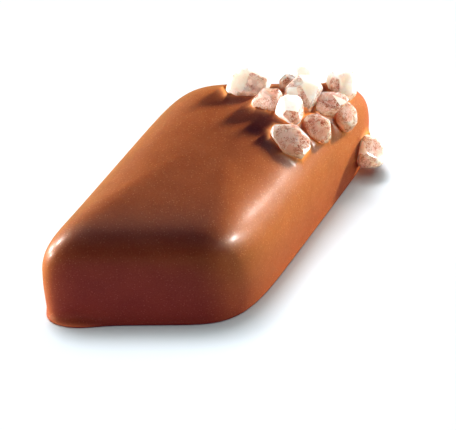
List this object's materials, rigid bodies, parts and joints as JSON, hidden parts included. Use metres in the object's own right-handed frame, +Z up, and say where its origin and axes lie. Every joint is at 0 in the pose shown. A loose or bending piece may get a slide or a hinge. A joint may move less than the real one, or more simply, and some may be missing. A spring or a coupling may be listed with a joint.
{
  "type": "milk chocolate praline topped with coarse clear crystals",
  "caption": "Rhomboid coated milk chocolate with soft shoulders and a flat base, coarse clear crystals set in its coat at one end.",
  "frame": {"origin": "middle of the flat underside", "axes": "+Z up; +X along the front edge, towards the side where the crystals lie; +Y from the front edge to the back edge"},
  "size_m": [0.0357, 0.0305, 0.014],
  "materials": {
    "milk_chocolate": "smooth set milk chocolate with a soft sheen",
    "clear_crystal": "clear to frosted pale pink crystal with broken facets"
  },
  "bodies": {
    "root": {"chocolate": "milk_chocolate", "crystal_back_left": "clear_crystal", "crystal_left": "clear_crystal", "crystal_white_plate": "clear_crystal", "crystal_slab": "clear_crystal", "crystal_small": "clear_crystal", "crystal_back_tip": "clear_crystal", "crystal_horned": "clear_crystal", "crystal_lying": "clear_crystal", "crystal_right": "clear_crystal", "crystal_middle": "clear_crystal", "crystal_front": "clear_crystal", "crystal_low_right": "clear_crystal"}
  },
  "joints": []
}
